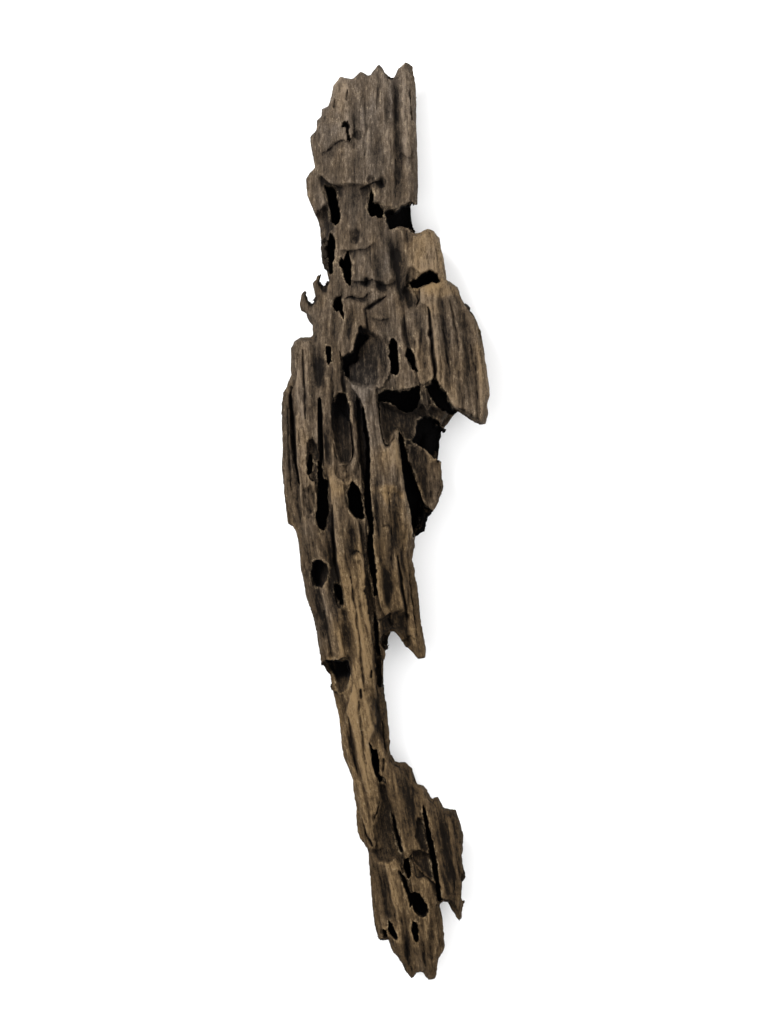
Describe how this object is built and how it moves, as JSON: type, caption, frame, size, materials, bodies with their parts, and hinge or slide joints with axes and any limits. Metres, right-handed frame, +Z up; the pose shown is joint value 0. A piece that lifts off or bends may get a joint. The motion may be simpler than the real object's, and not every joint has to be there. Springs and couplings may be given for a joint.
{
  "type": "piece of driftwood",
  "caption": "Long flat piece of weathered driftwood, broken at both ends, with splintered plates, deep hollows and splits along the grain; lies on its back.",
  "frame": {"origin": "middle of the footprint, on the surface that the piece lies on", "axes": "+Y along the length towards the broad straight end, +X to the right when the front is seen with that end up, +Z up out of the front"},
  "size_m": [0.1046, 0.4594, 0.0519],
  "materials": {
    "weathered_wood": "dry, weathered, grey-brown, rough along the grain"
  },
  "bodies": {
    "root": {"driftwood": "weathered_wood"}
  },
  "joints": []
}
